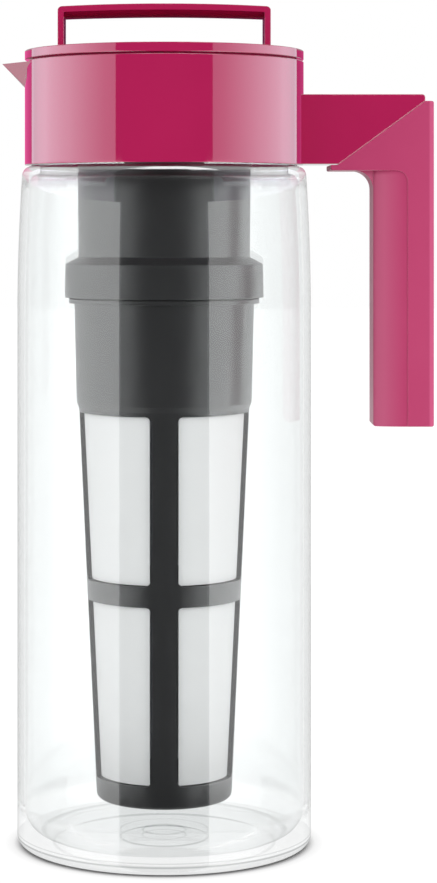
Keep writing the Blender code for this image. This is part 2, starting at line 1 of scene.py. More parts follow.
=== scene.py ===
# Iced tea maker: clear jug, raspberry handle collar and lid, graphite infuser with white mesh.
# The frame gives the solids, joints and sizes, and this script gives the looks. Metres, +Z up.

import math

import bmesh
import bpy
from mathutils import Matrix, Vector


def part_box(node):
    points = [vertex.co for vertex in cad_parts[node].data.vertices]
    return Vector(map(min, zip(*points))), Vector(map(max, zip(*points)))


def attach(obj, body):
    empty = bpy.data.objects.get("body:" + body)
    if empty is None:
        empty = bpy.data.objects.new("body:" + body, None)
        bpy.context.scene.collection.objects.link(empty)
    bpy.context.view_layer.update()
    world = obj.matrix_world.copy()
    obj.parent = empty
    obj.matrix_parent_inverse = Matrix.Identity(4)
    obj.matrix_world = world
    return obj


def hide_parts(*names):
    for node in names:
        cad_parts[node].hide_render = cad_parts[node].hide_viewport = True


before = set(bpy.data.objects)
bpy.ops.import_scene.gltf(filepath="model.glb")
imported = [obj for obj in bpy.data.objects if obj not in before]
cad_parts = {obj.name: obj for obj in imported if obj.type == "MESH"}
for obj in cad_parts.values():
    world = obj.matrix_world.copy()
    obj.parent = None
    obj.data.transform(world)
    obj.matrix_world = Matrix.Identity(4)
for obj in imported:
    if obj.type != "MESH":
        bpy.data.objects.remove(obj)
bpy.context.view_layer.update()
print("frame loaded:", len(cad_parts), "nodes")

# where the frame puts each piece
jugLow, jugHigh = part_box("pitcher_body")
collarLow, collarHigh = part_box("handle_collar")
gripLow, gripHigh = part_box("grip_sleeve")
capLow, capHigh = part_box("lid_cap")
loopLow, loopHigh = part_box("carry_loop")
plugLow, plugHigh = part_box("lid_plug")
gasketLow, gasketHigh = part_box("lid_gasket")
sealLow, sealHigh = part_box("neck_seal")
tubeLow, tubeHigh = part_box("infuser_extension")
basketLow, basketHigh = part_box("infuser_basket")

axisX = (capLow.x + capHigh.x) / 2  # the jug's own axis
bodyRadius = (jugHigh.x - jugLow.x) / 2
collarRadius = (capHigh.x - capLow.x) / 2
quarterTurn = math.pi / 2
fitGap = 0.0003  # between pieces that sit still
runGap = 0.0004  # between pieces that turn
overrun = 0.003  # how far a cutting shape stands past what it cuts
sealRound = 0.0004
fineRound = 0.0003


# shader helpers

class Wire:
    # a shader socket that can stand in a sum
    def __init__(self, tree, socket):
        self.tree = tree
        self.socket = socket

    def sum(self, operation, first, second):
        node = self.tree.nodes.new("ShaderNodeMath")
        node.operation = operation
        for slot, value in zip(node.inputs, (first, second)):
            if isinstance(value, Wire):
                self.tree.links.new(value.socket, slot)
            else:
                slot.default_value = value
        return Wire(self.tree, node.outputs[0])

    def __add__(self, other):
        return self.sum("ADD", self, other)

    def __radd__(self, other):
        return self.sum("ADD", other, self)

    def __sub__(self, other):
        return self.sum("SUBTRACT", self, other)

    def __rsub__(self, other):
        return self.sum("SUBTRACT", other, self)

    def __mul__(self, other):
        return self.sum("MULTIPLY", self, other)

    def __rmul__(self, other):
        return self.sum("MULTIPLY", other, self)


class Finish:
    # one material, and the single way in which its nodes are made
    def __init__(self, name, data=None):
        self.data = data or bpy.data.materials.new(name)
        self.data.use_nodes = True
        self.tree = self.data.node_tree
        self.tree.nodes.clear()

    def node(self, kind, settings=None, sockets=None):
        made = self.tree.nodes.new(kind)
        for key, value in (settings or {}).items():
            if key == "stops":
                self.fillRamp(made.color_ramp, value)
            else:
                setattr(made, key, value)
        for key, value in (sockets or {}).items():
            if isinstance(value, Wire):
                self.tree.links.new(value.socket, made.inputs[key])
            else:
                made.inputs[key].default_value = value
        return made

    def fillRamp(self, ramp, stops):
        while len(ramp.elements) < len(stops):
            ramp.elements.new(1.0)
        for element, (place, shade) in zip(ramp.elements, stops):
            element.position = place
            element.color = (shade, shade, shade, 1) if isinstance(shade, float) else (*shade, 1)

    def out(self, made, name=0):
        return Wire(self.tree, made.outputs[name])

    def place(self, name="Object"):
        return self.out(self.node("ShaderNodeTexCoord"), name)

    def axes(self, name="Object"):
        return self.node("ShaderNodeSeparateXYZ", None, {"Vector": self.place(name)})

    def ray(self, name):
        return self.out(self.node("ShaderNodeLightPath"), name)

    def maths(self, operation, *values):
        sockets = dict(enumerate(values))
        return self.out(self.node("ShaderNodeMath", {"operation": operation}, sockets))

    def ramp(self, share, stops):
        return self.out(self.node("ShaderNodeValToRGB", {"stops": stops}, {"Fac": share}))

    def noise(self, scale, detail=2.0):
        sockets = {"Vector": self.place(), "Scale": scale, "Detail": detail}
        return self.out(self.node("ShaderNodeTexNoise", None, sockets), "Fac")

    def span(self, value, low, high):
        # a share from 0 to 1, spread between two values
        return low + value * (high - low)

    def limited(self, value):
        return self.out(self.node("ShaderNodeClamp", None, {"Value": value}))

    def mix(self, share, first, second):
        sockets = {0: share, 6: first, 7: second}
        made = self.node("ShaderNodeMix", {"data_type": "RGBA"}, sockets)
        return self.out(made, 2)

    def bump(self, height, strength, distance):
        sockets = {"Height": height, "Strength": strength, "Distance": distance}
        return self.out(self.node("ShaderNodeBump", None, sockets), "Normal")

    def moulded(self, look):
        # a slow cloud in the colour and the roughness, over a fine grain
        cloud = self.noise(*look["cloud"])
        scale, detail, strength, depth = look["grain"]
        return {
            "Base Color": self.mix(cloud, look["colour"], look["second"]),
            "Roughness": self.span(cloud, *look["roughness"]),
            "Normal": self.bump(self.noise(scale, detail), strength, depth),
            **look["more"],
        }

    def plastic(self, sockets):
        return self.node("ShaderNodeBsdfPrincipled", None, sockets)

    def blend(self, share, first, second):
        sockets = {0: share, 1: self.out(first), 2: self.out(second)}
        return self.node("ShaderNodeMixShader", None, sockets)

    def finish(self, shader, output="ShaderNodeOutputMaterial"):
        self.node(output, None, {"Surface": self.out(shader)})
        return self.data


def seen(red, green, blue):
    # a colour as it looks on screen, from 0 to 255, in the renderer's linear values
    return (*((value / 255) ** 2.2 for value in (red, green, blue)), 1.0)


# mesh helpers

def rounded(corners, closed=False, steps=3):
    # corners are (across, up, rounding), and each comes back as an arc of its rounding
    points = []
    count = len(corners)
    for index, (across, up, rounding) in enumerate(corners):
        atEnd = not closed and index in (0, count - 1)
        if atEnd or rounding == 0:
            points.append((across, up))
            continue
        here = Vector((across, up))
        before = Vector(corners[index - 1][:2]) - here
        after = Vector(corners[(index + 1) % count][:2]) - here
        half = before.angle(after) / 2
        reach = min(rounding / math.tan(half), before.length / 2, after.length / 2)
        radius = reach * math.tan(half)
        between = (before.normalized() + after.normalized()).normalized()
        middle = here + between * radius / math.sin(half)
        start = here + before.normalized() * reach - middle
        turn = start.angle_signed(here + after.normalized() * reach - middle)
        for step in range(steps + 1):
            spoke = start.copy()
            spoke.rotate(Matrix.Rotation(-turn * step / steps, 2))
            points.append(tuple(middle + spoke))
    return points


def arc(centre, radius, start, end, steps):
    angles = [start + (end - start) * step / steps for step in range(steps + 1)]
    return [(centre[0] + radius * math.cos(a), centre[1] + radius * math.sin(a)) for a in angles]


def smoothed(mesh):
    work = bmesh.new()
    work.from_mesh(mesh)
    bmesh.ops.remove_doubles(work, verts=work.verts, dist=1e-6)
    bmesh.ops.recalc_face_normals(work, faces=work.faces)
    work.to_mesh(mesh)
    work.free()
    mesh.shade_smooth()
    mesh.set_sharp_from_angle(angle=math.radians(30))
    return mesh


def blank(name, mesh):
    made = bpy.data.objects.new(name, mesh)
    bpy.context.scene.collection.objects.link(made)
    made.location.x = axisX
    return made


def turned(name, profile, closed=False, sides=192):
    # spins a profile of (radius, height) round the jug's axis
    mesh = bpy.data.meshes.new(name)
    verts, rings = [], []
    for radius, height in profile:
        if radius < 1e-6:
            rings.append([len(verts)] * sides)
            verts.append((0, 0, height))
            continue
        rings.append(list(range(len(verts), len(verts) + sides)))
        ring = arc((0, 0), radius, 0, 2 * math.pi, sides)[:-1]
        verts += [(across, along, height) for across, along in ring]
    faces = []
    pairs = list(zip(rings, rings[1:] + rings[:1]))
    for upper, lower in pairs if closed else pairs[:-1]:
        for side in range(sides):
            other = (side + 1) % sides
            corners = [upper[side], upper[other], lower[other], lower[side]]
            faces.append(list(dict.fromkeys(corners)))
    mesh.from_pydata(verts, [], [face for face in faces if len(face) > 2])
    return blank(name, smoothed(mesh))


def disc(name, bottom, top, edge):
    # as wide as the collar
    corners = [(0, top, 0), (collarRadius, top, edge), (collarRadius, bottom, edge), (0, bottom, 0)]
    return turned(name, rounded(corners), sides=240)


def slab(name, outline, half, normal="Y"):
    # a flat outline, carried both ways along one axis
    mesh = bpy.data.meshes.new(name)
    count = len(outline)
    places = {
        "X": lambda across, up, out: (out, across, up),
        "Y": lambda across, up, out: (across, out, up),
        "Z": lambda across, up, out: (across, up, out),
    }
    verts = [places[normal](across, up, out) for out in (-half, half) for across, up in outline]
    faces = [list(range(count)), list(range(count, 2 * count))]
    for index in range(count):
        other = (index + 1) % count
        faces.append([index, other, other + count, index + count])
    mesh.from_pydata(verts, [], faces)
    return blank(name, smoothed(mesh))


def block(name, low, high):
    outline = [(low[0], low[2]), (high[0], low[2]), (high[0], high[2]), (low[0], high[2])]
    made = slab(name, outline, (high[1] - low[1]) / 2)
    made.data.transform(Matrix.Translation((0, (high[1] + low[1]) / 2, 0)))
    return made


def hull(name, points):
    mesh = bpy.data.meshes.new(name)
    work = bmesh.new()
    for point in points:
        work.verts.new(point)
    bmesh.ops.convex_hull(work, input=work.verts)
    work.to_mesh(mesh)
    work.free()
    return blank(name, smoothed(mesh))


def bevelled(thing, width, segments=3):
    step = thing.modifiers.new("edges", "BEVEL")
    step.width = width
    step.segments = segments
    step.limit_method = "ANGLE"
    step.angle_limit = math.radians(40)
    return settled(thing)


def settled(thing):
    # the modifiers' result becomes the piece's own mesh
    bpy.context.view_layer.update()
    depsgraph = bpy.context.evaluated_depsgraph_get()
    mesh = bpy.data.meshes.new_from_object(thing.evaluated_get(depsgraph))
    thing.modifiers.clear()
    mesh.name = thing.name
    thing.data = smoothed(mesh)
    return thing


def joined(thing, other, operation):
    step = thing.modifiers.new(operation, "BOOLEAN")
    step.operation = operation
    step.object = other
    step.solver = "EXACT"
    settled(thing)
    bpy.data.objects.remove(other)
    return thing


def piece(made, body, node, surface):
    # a finished piece: it rides on its body and stands for its node of the frame
    made.data.materials.clear()
    made.data.materials.append(surface)
    flat = made.modifiers.new("flat_faces_stay_flat", "WEIGHTED_NORMAL")
    flat.keep_sharp = True
    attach(made, body)
    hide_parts(node)
    return made


# moulded plastics: cloud is (scale, detail), roughness goes from low to high with it, grain is
# (scale, detail, strength, depth), and more holds what is the same all over

gloss = {
    "colour": seen(181, 29, 86), "second": seen(174, 26, 82), "roughness": (0.04, 0.06),
    "cloud": (40.0, 2.0), "grain": (220.0, 1.0, 0.15, 0.00002),
    "more": {"IOR": 1.5, "Coat Weight": 1.0, "Coat Roughness": 0.03},
}
# painted shade: a darker copy of the raspberry for the skirt in the seam under the cap, and for the
# plug; its matt finish is real
dullWithPaintedShade = {
    "colour": seen(160, 22, 74), "second": seen(150, 20, 70), "roughness": (0.6, 0.7),
    "cloud": (80.0, 2.0), "grain": (900.0, 2.0, 0.2, 0.00002),
    "more": {"Specular IOR Level": 0.15},
}
graphite = {
    "colour": seen(40, 40, 41), "second": seen(47, 47, 48), "roughness": (0.3, 0.38),
    "cloud": (90.0, 3.0), "grain": (4200.0, 2.0, 0.2, 0.00001),
    "more": {"IOR": 1.5},
}
silicone = {
    "colour": seen(212, 212, 208), "second": seen(202, 202, 198), "roughness": (0.5, 0.6),
    "cloud": (300.0, 2.0), "grain": (300.0, 2.0, 0.2, 0.00003),
    "more": {},
}


def mouldedPlastic(name, look):
    made = Finish(name)
    return made.finish(made.plastic(made.moulded(look)))


# soft satin of the grip: a paler painted sheen in the hollow towards the jug, a lighter painted
# highlight along its outer edge, and each fades in so much a metre

satin = {
    "colour": seen(178, 48, 98), "second": seen(172, 43, 93), "roughness": (0.44, 0.52),
    "cloud": (60.0, 3.0), "grain": (5200.0, 2.0, 0.25, 0.00004),
    "more": {"IOR": 1.5, "Sheen Weight": 0.4, "Sheen Roughness": 0.4},
    # painted sheen: the paler colour of the hollow, and where it starts, reaches and fades
    "paintedSheen": seen(192, 84, 121), "paintedSheenFrom": 0.0865, "paintedSheenReach": 0.007,
    "paintedSheenBelow": 0.2449, "paintedSheenFade": 500.0,
    # painted highlight: the lighter colour along the grip's outer edge, where its bevel catches the
    # light
    "edge": seen(198, 76, 121), "highlightFrom": 0.0955, "highlightFade": 1500.0,
}


def raspberrySatin():
    made = Finish("raspberrySatin")
    sockets = made.moulded(satin)
    spot = made.axes()
    across, height = made.out(spot, "X"), made.out(spot, "Z")
    # painted sheen: the hollow towards the jug is made paler where a sheen at a glance would show
    paintedSheenMask = made.limited((satin["paintedSheenFrom"] - across) * (1 / satin["paintedSheenReach"]))
    paintedSheenMask = paintedSheenMask * made.limited((satin["paintedSheenBelow"] - height) * satin["paintedSheenFade"])
    # painted highlight: the outer edge is made lighter, as its bevel would shine
    outer = made.limited((across - satin["highlightFrom"]) * satin["highlightFade"])
    withPaintedSheen = made.mix(paintedSheenMask, sockets["Base Color"], satin["paintedSheen"])
    sockets["Base Color"] = made.mix(outer, withPaintedSheen, satin["edge"])
    return made.finish(made.plastic(sockets))


# clear plastic: it bends light, but lamps and scattered light pass straight through it

clear = {
    "tint": seen(241, 243, 243), "cloud": seen(239, 241, 241), "cloudScale": 18.0,
    "roughness": 0.0, "ior": 1.46,
    # what stands for thin plastic: its share, below and above these heights
    "thin": (0.975, 0.98, 0.98, 1.0), "thinShare": 0.95,
    "thinBelow": 0.017, "thinAbove": 0.238, "blend": 0.006,
    # how much it shines, seen straight and from the side, and how dark it is at a glance
    "shineStraight": 0.035, "shineSide": 0.45,
    "brink": (0.2, 0.21, 0.21, 1.0), "brinkShare": 0.3,
    "turnAbove": 0.2438, "turnBlend": 0.0005, "turnShine": 0.3,
    # the underside's painted shade, and fine painted lines as (place, half width, depth)
    "under": (0.87, 0.875, 0.875, 1.0), "underHeight": 0.0036, "lineRoom": 0.0008,
    "underFade": 2000.0, "paintedLine": (0.45, 0.46, 0.46, 1.0), "lineCore": 1.5,
    "rings": ((0.0402, 0.0005, 0.25), (0.016, 0.0003, 0.8), (0.008, 0.0004, 0.6)),
    "hoops": ((0.0031, 0.0003, 0.75), (0.0045, 0.0002, 0.35)),
    # what is left of the light that goes straight through
    "passing": (0.97, 0.975, 0.975, 1.0), "foot": (0.12, 0.12, 0.12, 1.0), "footHeight": 0.02,
}


def clearPlastic():
    made = Finish("clearPlastic")
    glass = made.plastic({
        "Base Color": made.mix(made.noise(clear["cloudScale"]), clear["tint"], clear["cloud"]),
        "Roughness": clear["roughness"],
        "IOR": clear["ior"],
        "Transmission Weight": 1.0,
    })
    height = made.out(made.axes(), "Z")
    front = 1 - made.out(made.node("ShaderNodeNewGeometry"), "Backfacing")
    facing = made.out(made.node("ShaderNodeLayerWeight", None, {"Blend": 0.5}), "Facing")
    glance = facing * facing * facing * facing * facing

    def sheet(name):
        return made.node("ShaderNodeBsdfTransparent", None, {"Color": clear[name]})

    def fineLines(place, lines):
        drawn = 0.0
        for middle, half, depth in lines:
            away = made.maths("ABSOLUTE", place - middle)
            drawn = made.limited(clear["lineCore"] - away * (1 / half)) * depth + drawn
        return drawn

    # painted shade: the underside lets less light straight through, and the steps moulded in it are
    # drawn as fine dark lines, standing in for light that the thick base bends and reflects
    under = made.limited((clear["underHeight"] - height) * clear["underFade"])
    nearFoot = clear["underHeight"] + clear["lineRoom"] - height
    nearFoot = made.limited(nearFoot * clear["underFade"])
    flatten = {0: made.place(), 1: (1, 1, 0)}
    flat = made.node("ShaderNodeVectorMath", {"operation": "MULTIPLY"}, flatten)
    radius = made.node("ShaderNodeVectorMath", {"operation": "LENGTH"}, {0: made.out(flat)})
    rings = fineLines(made.out(radius, "Value"), clear["rings"])
    hoops = fineLines(height, clear["hoops"])
    straight = made.blend(under, sheet("thin"), sheet("under"))
    lines = made.limited(rings * nearFoot + hoops * front)
    straight = made.blend(lines, straight, sheet("paintedLine"))
    straight = made.blend(glance * glance * clear["brinkShare"], straight, sheet("brink"))

    # the shoulder and the base look thin: they bend little light, and shine at a glance
    turn = made.limited((height - clear["turnAbove"]) * (1 / clear["turnBlend"]))
    shine = glance * clear["shineSide"] + clear["shineStraight"] + turn * clear["turnShine"]
    mirror = made.node("ShaderNodeBsdfAnisotropic", None, {"Roughness": clear["roughness"]})
    thin = made.blend(made.limited(shine) * front, straight, mirror)
    below = made.limited((clear["thinBelow"] - height) * (1 / clear["blend"]))
    above = made.limited((height - clear["thinAbove"]) * (1 / clear["blend"]))
    wall = made.blend((below + above) * clear["thinShare"], glass, thin)

    # lamps and scattered light pass straight through, but little of them at the foot
    atFoot = made.maths("LESS_THAN", height, clear["footHeight"])
    passing = made.blend(atFoot, sheet("passing"), sheet("foot"))
    through = made.ray("Is Shadow Ray") + made.ray("Is Diffuse Ray")
    return made.finish(made.blend(through, wall, passing))


# woven filter mesh

weave = {
    "thread": seen(255, 255, 255), "gap": seen(240, 240, 240), "perRound": 360,
    "perMetre": 2000, "roughness": (0.62, 0.72), "cloud": (160.0, 4.0),
    "strength": 0.3, "depth": 0.00005,
}


def filterMesh():
    made = Finish("filterMesh")
    spot = made.axes("UV")
    across = made.maths("SINE", made.out(spot, "X") * (2 * math.pi * weave["perRound"]))
    up = made.maths("SINE", made.out(spot, "Y") * (2 * math.pi * weave["perMetre"]))
    threads = across * up * 0.5 + 0.5
    cloud = made.noise(*weave["cloud"])
    return made.finish(made.plastic({
        "Base Color": made.mix(threads * 0.5 + cloud * 0.5, weave["gap"], weave["thread"]),
        "Roughness": made.span(cloud, *weave["roughness"]),
        "Normal": made.bump(threads, weave["strength"], weave["depth"]),
    }))


raspberry = mouldedPlastic("raspberryGloss", gloss)
soft = raspberrySatin()
mattWithPaintedShade = mouldedPlastic("raspberryMattPaintedShade", dullWithPaintedShade)
clearWall = clearPlastic()
dark = mouldedPlastic("graphitePlastic", graphite)
meshWhite = filterMesh()
sealPale = mouldedPlastic("paleSilicone", silicone)
print("finishes made")


# jug

jug = {
    "wall": 0.0028, "neckRadius": 0.0483, "neckWall": 0.003, "neckHeight": 0.0252,
    "shoulderRound": 0.0036, "taper": 0.052, "lipRound": 0.0008,
    "floor": 0.0042, "floorRound": 0.009, "baseRound": 0.0034, "footWidth": 0.010,
    "puntDepth": 0.0014, "puntSlope": 0.0025, "gateRadius": 0.016, "gateDepth": 0.0007,
    "dimpleRadius": 0.008, "dimpleDepth": 0.0004, "stepRound": 0.0004, "footRound": 0.0008,
    "puntRound": 0.0012, "straightFrom": 0.03, "straightStep": 0.0275,
}
neckTop = jugHigh.z
shoulderHeight = neckTop - jug["neckHeight"]
neckBore = jug["neckRadius"] - jug["neckWall"]


def jugRadius(height):
    # straight, then drawn in along a parabola to the shoulder
    shoulder = jug["neckRadius"] + jug["shoulderRound"]
    taperTop = shoulderHeight - jug["shoulderRound"]
    share = max(0.0, 1 - (taperTop - height) / jug["taper"])
    return bodyRadius + (shoulder - bodyRadius) * share ** 2


def clearJug():
    wall = jug["wall"]
    turn = jug["shoulderRound"]
    taperTop = shoulderHeight - turn
    innerTurn = taperTop - wall
    heights = [taperTop - jug["taper"] * (1 - step / 20) for step in range(21)]
    straights = [jug["straightFrom"] + jug["straightStep"] * step for step in range(6)]
    lift = jug["floor"] + jug["floorRound"]

    dimple = jug["floor"] - jug["dimpleDepth"]
    profile = [(0, dimple), (jug["dimpleRadius"] - jug["dimpleDepth"], dimple)]
    profile += [(jug["dimpleRadius"], jug["floor"])]
    corner = (bodyRadius - wall - jug["floorRound"], lift)
    profile += arc(corner, jug["floorRound"], -quarterTurn, 0, 16)
    innerHeights = straights + [height for height in heights if height < innerTurn]
    profile += [(jugRadius(height) - wall, height) for height in innerHeights]
    inner = jug["neckRadius"] - wall
    profile += arc((inner, innerTurn), turn, 0, quarterTurn, 10)
    profile += [(neckBore, innerTurn + turn)]
    lip = jug["lipRound"]
    profile += arc((neckBore + lip, neckTop - lip), lip, 2 * quarterTurn, quarterTurn, 4)
    profile += arc((jug["neckRadius"] - lip, neckTop - lip), lip, quarterTurn, 0, 4)
    profile += arc((jug["neckRadius"], taperTop), turn, quarterTurn, 0, 10)
    outerHeights = reversed(straights + heights[:-1])
    profile += [(jugRadius(height), height) for height in outerHeights]
    foot = bodyRadius - jug["baseRound"]
    profile += arc((foot, jug["baseRound"]), jug["baseRound"], 0, -quarterTurn, 12)
    inside = foot - jug["footWidth"]
    gate = jug["gateRadius"]
    punt, edge = jug["puntDepth"], jug["stepRound"]
    top = punt + jug["gateDepth"]
    profile += rounded([
        (foot, 0, 0), (inside, 0, jug["footRound"]),
        (inside - jug["puntSlope"], punt, jug["puntRound"]),
        (gate, punt, edge), (gate - jug["gateDepth"], top, edge), (0, top, 0),
    ], steps=4)[1:]
    made = turned("clear_jug", profile, sides=240)
    return piece(made, "jug", "pitcher_body", clearWall)


clearJug()


def neckSeal():
    outer = (sealHigh.x - sealLow.x) / 2
    inner = neckBore + fitGap
    profile = rounded([
        (outer, sealHigh.z, sealRound), (outer, sealLow.z, sealRound),
        (inner, sealLow.z, sealRound), (inner, sealHigh.z, sealRound),
    ], closed=True)
    made = turned("neck_washer", profile, closed=True)
    return piece(made, "jug", "neck_seal", sealPale)


neckSeal()
print("jug and its seal made")


# handle collar: ring, spout, arm and the core inside the grip

collar = {
    "rimWall": 0.0025, "ledge": 0.0022, "bottomGap": 0.0003, "edge": 0.0003,
    "spoutHalfWidth": 0.018, "spoutHeight": 0.0087, "spoutWall": 0.0015, "spoutDrop": 0.0006,
    "tipRound": 0.0012, "ledgeRound": 0.0004, "armHeight": 0.0252, "armRaise": 0.0003,
    "armInset": 0.0031, "armCorner": 0.0022, "armBevel": 0.0009,
    "seamStart": 0.0122, "seamDrop": 0.0024, "coreInset": 0.0027,
}
grip = {
    "width": 0.0217, "wall": 0.0034, "corner": 0.0008, "bevel": 0.0007, "fillet": 0.0066,
    "tabThickness": 0.002, "tabRound": (0.0006, 0.0004), "scoopWidth": 0.0123,
    "scoopStep": 0.0005, "scoopDepth": 0.004, "scoopWall": 0.0012, "scoopRound": 0.0085,
}
collarTop = collarHigh.z
collarBottom = shoulderHeight + collar["bottomGap"]
ledgeTop = capLow.z - runGap
rimBore = collarRadius - collar["rimWall"]
spoutReach = axisX - collarLow.x
handleHalf = gripHigh.y
gripOuter = gripHigh.x - axisX
armBottom = collarBottom + collar["armRaise"]
armTop = armBottom + collar["armHeight"]
armReach = gripOuter - collar["armInset"]
seamFoot = collarRadius + collar["seamStart"]
seamTop = armTop - collar["seamDrop"]


def spoutPoints(inset, top):
    # a rim with a round tip, over a keel that rises from the collar's wall to the tip
    rim = collarTop - collar["spoutDrop"]
    keel = rim - collar["spoutHeight"] + inset
    half = collar["spoutHalfWidth"] - inset
    tip = spoutReach - inset - collar["tipRound"]
    meeting = math.sqrt(collarRadius ** 2 - collar["spoutHalfWidth"] ** 2)
    root = 2 * meeting - spoutReach
    outline = arc((tip, 0), collar["tipRound"], -quarterTurn, quarterTurn, 10)
    outline += [(meeting, half), (root, half), (root, -half), (meeting, -half)]
    points = [(-across, along, height) for height in (rim, top) for across, along in outline]
    return points + [(-collarRadius, 0, keel), (-root, 0, keel)]


def coreCorners(gap, top):
    # the core that the arm sends down inside the grip, or the grip's pocket a gap wider
    inner = gripOuter - grip["width"] + grip["wall"]
    outer = armReach - collar["coreInset"]
    half = handleHalf - grip["scoopDepth"] - grip["scoopWall"] - fitGap
    low = (inner - gap, -half - gap, gripLow.z + grip["wall"] - gap)
    return low, (outer + gap, half + gap, top)


def collarBore():
    # the room for the neck below the ledge, and for the lid above it
    ledgeBottom = ledgeTop - collar["ledge"]
    ledgeBore = neckBore + fitGap
    neckRoom = jug["neckRadius"] + fitGap
    top, bottom = collarTop + overrun, collarBottom - overrun
    return turned("bore", rounded([
        (0, top, 0), (rimBore, top, 0), (rimBore, ledgeTop, collar["ledgeRound"]),
        (ledgeBore, ledgeTop, 0), (ledgeBore, ledgeBottom, 0),
        (neckRoom, ledgeBottom, 0), (neckRoom, bottom, 0), (0, bottom, 0),
    ]), sides=240)


def glossyCollar():
    made = disc("glossy_collar", collarBottom, collarTop, collar["edge"])
    rim = collarTop - collar["spoutDrop"]
    joined(made, hull("spout", spoutPoints(0, rim)), "UNION")
    trough = hull("trough", spoutPoints(collar["spoutWall"], collarTop + overrun))
    joined(made, trough, "DIFFERENCE")
    joined(made, collarBore(), "DIFFERENCE")
    return piece(made, "jug", "handle_collar", raspberry)


def glossyArm():
    root = jug["neckRadius"] - handleHalf
    arm = rounded([
        (root, armBottom, 0), (seamFoot, armBottom, fineRound), (armReach, seamTop, fineRound),
        (armReach, armTop, collar["armCorner"]), (root, armTop, 0),
    ], closed=True, steps=8)
    made = bevelled(slab("glossy_arm", arm, handleHalf), collar["armBevel"])
    core = block("core", *coreCorners(0, armTop - collar["armCorner"]))
    joined(made, core, "UNION")
    joined(made, collarBore(), "DIFFERENCE")
    made.visible_glossy = False  # the photograph's collar shows no arm in its gloss
    return piece(made, "jug", "handle_collar", raspberry)


glossyCollar()
glossyArm()
print("handle collar made")


# grip

def gripOutline():
    slope = math.atan2(seamTop - armBottom, armReach - seamFoot)
    seamStart = seamFoot - fitGap / math.tan(slope)  # no light shows through the seam
    tabTop = armBottom - fitGap
    tabBottom = tabTop - grip["tabThickness"]
    inner = gripOuter - grip["width"]
    tabInner = gripLow.x - axisX
    lower, upper = grip["tabRound"]
    corner = grip["corner"]
    return rounded([
        (tabInner, tabBottom, lower), (tabInner, tabTop, upper),
        (seamStart, tabTop, 0), (armReach, seamTop, fineRound),
        (gripOuter, seamTop, corner), (gripOuter, gripLow.z, corner), (inner, gripLow.z, corner),
        (inner, tabBottom, grip["fillet"]),
    ], closed=True, steps=10)


def scoop(name, side, tabBottom):
    # the inner half of the grip falls away in a quarter ellipse, under one round corner
    inner = gripOuter - grip["width"]
    crease = inner + grip["scoopWidth"]
    floor = handleHalf - grip["scoopDepth"]
    section = []
    for step in range(25):
        angle = quarterTurn * step / 24
        across = crease - grip["scoopWidth"] * math.sin(angle)
        along = floor + (grip["scoopDepth"] - grip["scoopStep"]) * math.cos(angle)
        section.append((across, side * along))
    far = inner - grip["fillet"]
    past = side * (handleHalf + overrun)
    section += [(far, side * floor), (far, past), (crease, past)]
    half = (tabBottom - gripLow.z) / 2 + overrun
    made = slab(name, section, half, "Z")
    made.data.transform(Matrix.Translation((0, 0, (tabBottom + gripLow.z) / 2)))
    bottom, bend = gripLow.z - overrun, tabBottom - grip["scoopRound"]
    front = rounded([
        (far - overrun, bottom, 0), (crease + overrun, bottom, 0), (crease + overrun, bend, 0),
        (crease, bend, 0), (crease, tabBottom, grip["scoopRound"]), (far - overrun, tabBottom, 0),
    ], closed=True, steps=16)
    return joined(made, slab("front", front, 2 * handleHalf), "INTERSECT")


def satinGrip():
    made = bevelled(slab("satin_grip", gripOutline(), handleHalf), grip["bevel"])
    tabBottom = armBottom - fitGap - grip["tabThickness"]
    for name, side in (("scoopNear", -1), ("scoopFar", 1)):
        joined(made, scoop(name, side, tabBottom), "DIFFERENCE")
    pocket = block("pocket", *coreCorners(fitGap, armTop + overrun))
    joined(made, pocket, "DIFFERENCE")
    made.visible_glossy = False  # the photograph's collar and wall show no grip either
    return piece(made, "jug", "grip_sleeve", soft)


satinGrip()
print("grip made")


# lid: cap, carry loop, plug and gasket

cap = {
    "thickness": 0.0033, "skirtWall": 0.0022, "edge": 0.0003, "skirtRound": 0.0004,
    "portHalfWidth": 0.014, "portRoof": 0.0012, "plugGap": 0.0009,
}
capTop = capHigh.z
capBottom = capTop - cap["thickness"]
skirtRadius = rimBore - runGap
skirtBore = skirtRadius - cap["skirtWall"]
plugRadius = neckBore - cap["plugGap"]

loop = {
    "leg": 0.0023, "bar": 0.0024, "belly": 0.002, "bow": 0.0011, "corner": 0.0016,
    "bevel": 0.0006, "tenon": 0.0015,
}
loopSpan = (loopHigh.x - loopLow.x) / 2
loopHalfDepth = loopHigh.y
loopTop = loopHigh.z


def capDisc():
    made = disc("glossy_cap", capBottom, capTop, cap["edge"])
    for side in (-1, 1):
        ends = sorted((side * (loopSpan + fitGap), side * (loopSpan - loop["leg"] - fitGap)))
        half = loopHalfDepth + fitGap
        low = (ends[0], -half, capTop - loop["tenon"] - fitGap)
        high = (ends[1], half, capTop + overrun)
        joined(made, block("socket", low, high), "DIFFERENCE")
    made.visible_glossy = False  # the loop's underside stays as dark as in the photograph
    return piece(made, "lid", "lid_cap", raspberry)


def cutPort(made, inner, bottom, top):
    low = (-cap["portHalfWidth"], inner, bottom)
    high = (cap["portHalfWidth"], collarRadius, top)
    joined(made, block("port", low, high), "DIFFERENCE")


def capSkirt():
    # the ring in the collar's rim, with the port that the lid turns to the spout
    top, edge = capBottom + cap["edge"], cap["skirtRound"]
    profile = rounded([
        (skirtRadius, top, 0), (skirtRadius, capLow.z, edge), (skirtBore, capLow.z, edge),
        (skirtBore, top, 0),
    ], closed=True)
    made = turned("cap_skirt", profile, closed=True, sides=240)
    cutPort(made, plugRadius, capLow.z - overrun, capBottom - cap["portRoof"])
    # the skirt takes the darker matt raspberry, whose darker colour is painted shade
    return piece(made, "lid", "lid_cap", mattWithPaintedShade)


